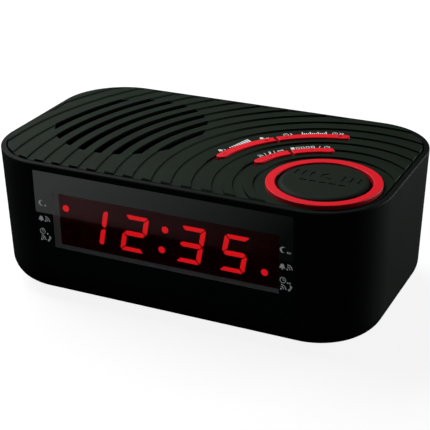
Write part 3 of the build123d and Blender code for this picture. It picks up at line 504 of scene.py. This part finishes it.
def print_icon(name, outlines, place, ink):
    """Raises an icon's outlines into a thin mesh, lays it at a place and fixes it to the case."""
    curve = bpy.data.curves.new(name, "CURVE")
    curve.dimensions = "2D"
    curve.fill_mode = "BOTH"
    curve.extrude = INK_THICKNESS / 2 * MM
    for outline in outlines:
        spline = curve.splines.new("POLY")
        spline.points.add(len(outline) - 1)
        for point, (x, y) in zip(spline.points, outline):
            point.co = (x * MM, y * MM, 0, 1)
        spline.use_cyclic_u = True
    holder = bpy.data.objects.new(name + "_outline", curve)
    mesh = bpy.data.meshes.new_from_object(holder)
    bpy.data.objects.remove(holder)
    mesh.name = name
    mesh.transform(place)
    mesh.materials.clear()
    mesh.materials.append(ink)
    icon = bpy.data.objects.new(name, mesh)
    bpy.context.scene.collection.objects.link(icon)
    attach(icon, "case")
    return icon


# the panel's marks lie on two ribs, whose radii in mm are taken from the middle of the snooze disc
RING_LOW, RING_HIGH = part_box("snooze_ring")
CONTROL_X = (RING_LOW.x + RING_HIGH.x) / 2
CONTROL_Y = (RING_LOW.y + RING_HIGH.y) / 2
RIM_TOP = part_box("cabinet")[1].z
RIB_MIDDLE = RIM_TOP + 0.8 * MM
RIB_SLOPE = 0.2 / 4.1
OUTER_LEGENDS = 58.9
INNER_LEGENDS = 41.3
LEGEND_SCALE = 0.98


def on_panel(radius, angle):
    """A place on a rib of the top panel, with the icon's top pointing away from the snooze disc."""
    turn = math.radians(angle)
    centre = Vector(
        (
            CONTROL_X + radius * MM * math.cos(turn),
            CONTROL_Y + radius * MM * math.sin(turn),
            RIB_MIDDLE + INK_LIFT * MM,
        )
    )
    turned = Matrix.Rotation(turn - math.pi / 2, 4, "Z") @ Matrix.Rotation(math.atan(RIB_SLOPE), 4, "X")
    return Matrix.Translation(centre) @ turned @ Matrix.Scale(LEGEND_SCALE, 4)


def print_panel():
    """The marks behind the keys, each with its angle round the snooze disc."""
    outer = {
        "legend_alarm_one": (162.6, moved(bell(), -1.2) + moved(dots(1), 0.8)),
        "legend_volume": (152.5, loudness()),
        "legend_alarm_two": (139.0, moved(bell(), -1.3) + moved(dots(2), 0.8)),
        "legend_minutes": (127.0, moved(clock(), -1.4) + moved(chevrons(1), 1.1)),
        "legend_tuning": (115.2, dial_scale()),
        "legend_hours": (104.2, moved(clock(), -1.6) + moved(chevrons(2), 0.9)),
    }
    inner = {
        "legend_tuner": (154.5, waves()),
        "legend_slash_one": (150.6, slash()),
        "legend_music": (147.2, note()),
        "legend_slash_two": (143.8, slash()),
        "legend_jack": (139.6, jack()),
        "legend_memories": (124.3, memory_squares()),
        "legend_slash_three": (113.6, slash()),
        "legend_clock": (108.8, clock()),
    }
    for radius, legends in ((OUTER_LEGENDS, outer), (INNER_LEGENDS, inner)):
        for name, (angle, outlines) in legends.items():
            print_icon(name, outlines, on_panel(radius, angle), LEGEND_INK)


# the lens's marks stand in two columns, and its front leans back by the slope
LENS_LOW, LENS_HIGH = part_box("display_lens")
FRONT_SLOPE = 0.6 / 66.5
LENS_LEGEND_SCALE = 1.08
LEGEND_COLUMNS = {"left": -59.6, "right": 59.6}


def on_lens(x, z):
    """A place on the sloping front face of the lens, facing out."""
    y = LENS_LOW.y + FRONT_SLOPE * (LENS_HIGH.z - z * MM) - INK_LIFT * MM
    lean = Matrix.Rotation(math.pi / 2 + math.atan(FRONT_SLOPE), 4, "X")
    return Matrix.Translation((x * MM, y, z * MM)) @ lean @ Matrix.Scale(LENS_LEGEND_SCALE, 4)


def print_lens():
    """The marks printed on the lens, returned for the light that picks them out."""
    icons_made = []
    rows = {
        "left": {
            "evening": (49.0, moved(moon(), -1.0) + moved(dots(1), 0.9)),
            "bell": (41.2, moved(bell(), -1.7) + moved(waves(), 1.4)),
            "wake": (34.7, moved(clock(), -1.4) + moved(dots(1), 0.9)),
            "wake_radio": (31.4, moved(waves(), -1.2) + moved(note(), 1.6)),
        },
        "right": {
            "sleep": (49.0, moved(moon(), -1.4) + moved(dots(2), 0.6)),
            "bell": (41.2, moved(bell(), -1.7) + moved(waves(), 1.4)),
            "wake": (34.7, moved(clock(), -1.4) + moved(dots(2), 0.6)),
            "wake_radio": (31.4, moved(waves(), -1.2) + moved(note(), 1.6)),
        },
    }
    for side, icons in rows.items():
        for name, (z, outlines) in icons.items():
            place = on_lens(LEGEND_COLUMNS[side], z)
            icons_made.append(print_icon(f"lens_{side}_{name}", outlines, place, LENS_INK))
    return icons_made


# the first digit's middle on the display's face, and the missing ends of its upper segment, in mm
FIRST_DIGIT = (-36.8, -48.65, 39.3)
DIGIT_SLANT = math.tan(math.radians(11))
ONE_FILLS = (
    ((3.7, 6.3), (3.7, 7.5), (4.6, 8.4), (5.6, 8.5), (5.6, 8.2)),
    ((3.7, 2.3), (3.7, 1.4), (5.0, 0.4), (5.6, 0.4)),
)


def fill_out_the_one():
    """Squares up the first digit's segments, whose ends are cut less than the other digits' ends."""
    upright = Matrix.Rotation(math.pi / 2, 4, "X")
    place = Matrix.Translation([value * MM for value in FIRST_DIGIT]) @ upright
    outlines = []
    for side in (1, -1):
        for points in ONE_FILLS:
            outlines.append([(x + side * z * DIGIT_SLANT, side * z) for x, z in points])
    print_icon("digit_one_ends", outlines, place, MATERIALS["lit_segment"])


print_panel()
fill_out_the_one()
LENS_MARKS = print_lens()


# ---------------------------------------------------------------- camera, floor and light
CAMERA_PLACE = (0.23265, -0.48276, 0.28040)
CAMERA_AZIMUTH = 25.709
CAMERA_ELEVATION = 24.998
CAMERA_ROLL = -0.918
FOCAL_LENGTH = 103.55


def make_camera():
    """A camera at the photograph's angle, given in degrees."""
    azimuth = math.radians(CAMERA_AZIMUTH)
    elevation = math.radians(CAMERA_ELEVATION)
    back = Vector(
        (
            math.sin(azimuth) * math.cos(elevation),
            -math.cos(azimuth) * math.cos(elevation),
            math.sin(elevation),
        )
    )
    data = bpy.data.cameras.new("camera")
    data.lens = FOCAL_LENGTH
    data.sensor_width = 36.0
    data.clip_start = 0.01
    camera = bpy.data.objects.new("camera", data)
    bpy.context.scene.collection.objects.link(camera)
    right = (-back).cross(Vector((0, 0, 1))).normalized()
    up = right.cross(-back)
    turn = Matrix((right, up, back)).transposed()
    roll = Matrix.Rotation(math.radians(CAMERA_ROLL), 3, "Z")
    camera.matrix_world = Matrix.Translation(CAMERA_PLACE) @ (turn @ roll).to_4x4()
    bpy.context.scene.camera = camera


FLOOR_SIZE = 8.0
FLOOR_DROP = 0.0002
FLOOR_GLOW = 0.88


def make_floor():
    """A plain white floor that the object doesn't take light back from."""
    bpy.ops.mesh.primitive_plane_add(size=FLOOR_SIZE, location=(0, 0, -FLOOR_DROP))
    floor = bpy.context.object
    floor.name = "floor"
    finish = material("pale_floor", (0.16, 0.16, 0.16), 0.9, spread=0.005, blotch=2, specular=0.0)
    shader_of(finish).inputs["Emission Color"].default_value = (1, 1, 1, 1)
    shader_of(finish).inputs["Emission Strength"].default_value = FLOOR_GLOW
    floor.data.materials.append(finish)
    floor.visible_diffuse = False
    floor.visible_glossy = False
    floor.visible_transmission = False


def area_light(name, place, aim, width, height, power):
    """A rectangular light pointed at a place, unseen by the camera."""
    data = bpy.data.lights.new(name, "AREA")
    data.shape = "RECTANGLE"
    data.size, data.size_y = width, height
    data.energy = power
    light = bpy.data.objects.new(name, data)
    bpy.context.scene.collection.objects.link(light)
    light.location = place
    light.rotation_euler = (Vector(aim) - Vector(place)).to_track_quat("-Z", "Y").to_euler()
    light.visible_camera = False
    return light


def light_only(light, name, receivers):
    """Limits a light to some objects."""
    group = bpy.data.collections.new(name)
    for receiver in receivers:
        group.objects.link(receiver)
    light.light_linking.receiver_collection = group


CARD_X = -0.1
CARD_WIDTH = 1.2
CARD_NEAR_Y = -0.131
CARD_FAR_Y = -0.75
CARD_HEIGHT = 0.0005
CARD_POWER = 0.9
CARD_FADE_X = (-0.13, 0.02)


def lens_reflection():
    """A bright card lying on the floor in front, fading to the right, which only the lens reflects."""
    middle = (CARD_X, (CARD_NEAR_Y + CARD_FAR_Y) / 2, CARD_HEIGHT)
    depth = CARD_NEAR_Y - CARD_FAR_Y
    light = area_light("lens_card", middle, (middle[0], middle[1], 1), CARD_WIDTH, depth, CARD_POWER)
    light.rotation_euler = (math.pi, 0, 0)
    light.data.use_nodes = True
    tree = light.data.node_tree
    place = tree.nodes.new("ShaderNodeNewGeometry").outputs["Position"]
    across = add_node(tree, "ShaderNodeSeparateXYZ", Vector=place).outputs["X"]
    fade = spread_over(tree, across, 1.0, 0.05, *CARD_FADE_X)
    tree.links.new(fade, tree.nodes["Emission"].inputs["Strength"])
    light_only(light, "lens_only", [NODES["display_lens"]])


def make_light():
    """A white background that sheds no light, soft boxes, and the two lights that only the front takes."""
    world = bpy.data.worlds.new("studio")
    world.use_nodes = True
    world.node_tree.nodes["Background"].inputs["Color"].default_value = (1, 1, 1, 1)
    world.node_tree.nodes["Background"].inputs["Strength"].default_value = 1.0
    for ray in ("diffuse", "glossy", "transmission", "scatter"):
        setattr(world.cycles_visibility, ray, False)
    bpy.context.scene.world = world
    area_light("top_softbox", (-0.45, 0.2, 0.62), (0, 0, 0.06), 0.7, 0.6, 8.4)
    area_light("left_softbox", (-0.9, 0.1, 0.35), (0, 0, 0.04), 0.4, 0.5, 2.2)
    area_light("right_softbox", (0.75, 0.85, 0.12), (0, 0, 0.03), 0.5, 0.3, 10.5)
    area_light("front_fill", (0.3, -1.2, 0.7), (0, 0, 0.04), 0.6, 0.6, 1.2)
    marks_fill = area_light("marks_fill", (-0.3, -0.9, 0.45), (0, 0, 0.04), 0.3, 0.3, 1.5)
    light_only(marks_fill, "marks_only", [*LENS_MARKS, NODES["display_bezel"]])
    lens_reflection()


make_camera()
make_floor()
make_light()
bpy.context.scene.view_settings.view_transform = "Standard"
